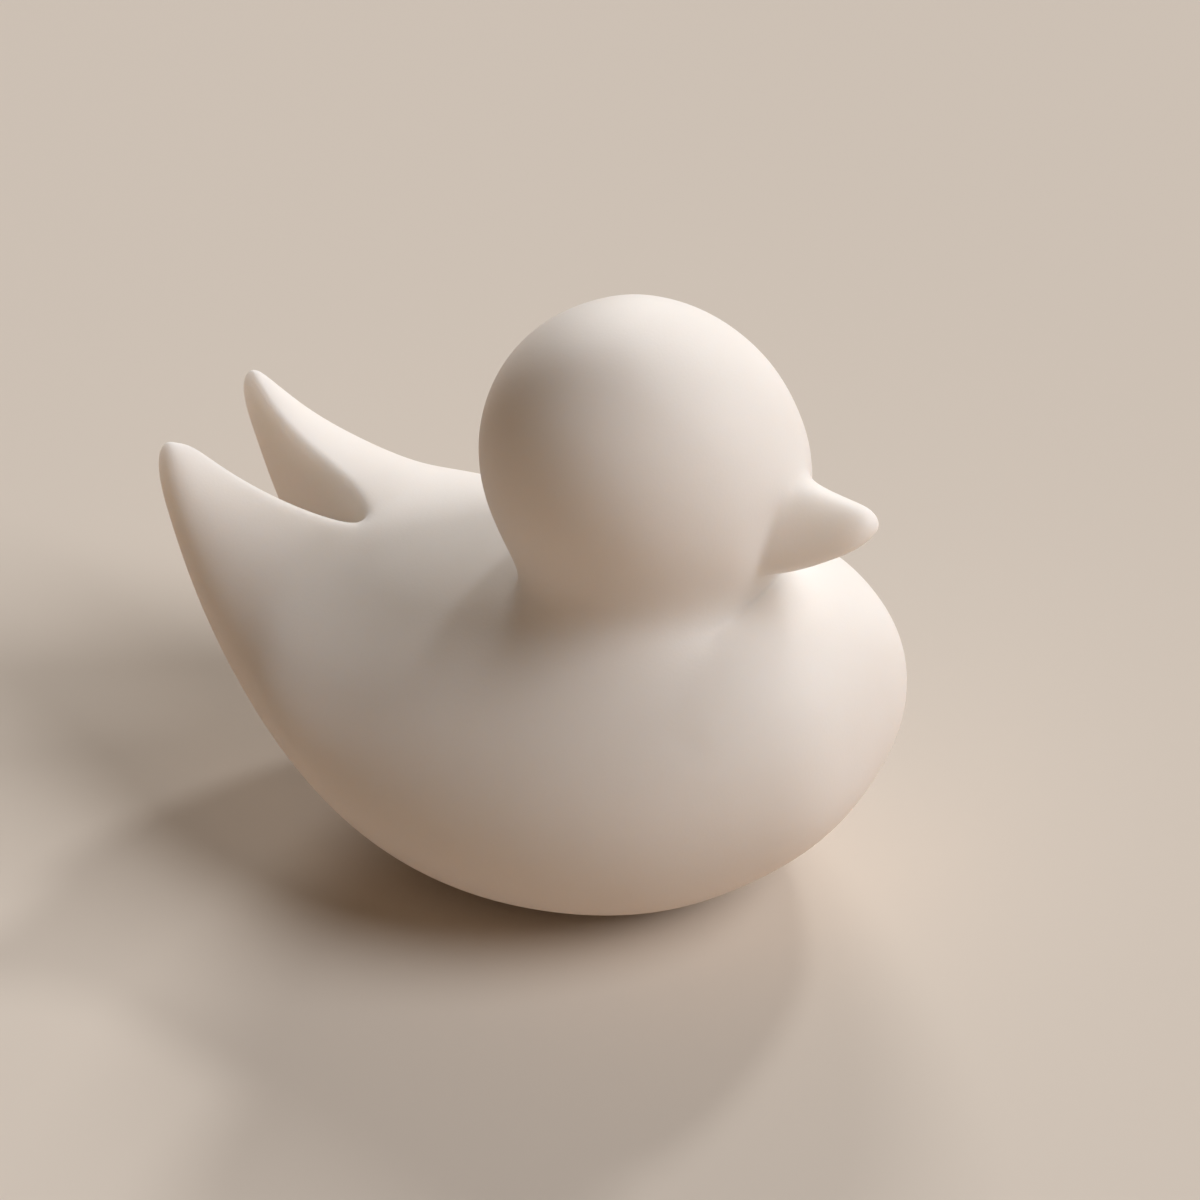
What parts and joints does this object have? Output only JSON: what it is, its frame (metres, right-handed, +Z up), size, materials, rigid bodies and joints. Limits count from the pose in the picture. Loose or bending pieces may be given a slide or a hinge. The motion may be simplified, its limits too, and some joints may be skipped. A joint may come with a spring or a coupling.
{
  "type": "rubber duck",
  "caption": "One-piece moulded bath duck with a round head, a tapered beak, a full breast and a raised tail forked in two, standing on a small flat base.",
  "frame": {"origin": "middle of the bounding box at the height of the flat base", "axes": "+X from the tail to the beak, +Y to the duck's left, +Z up"},
  "size_m": [0.093, 0.0648, 0.075],
  "materials": {
    "duck": "matt soft-touch white vinyl"
  },
  "bodies": {
    "root": {"duck": "duck"}
  },
  "joints": []
}
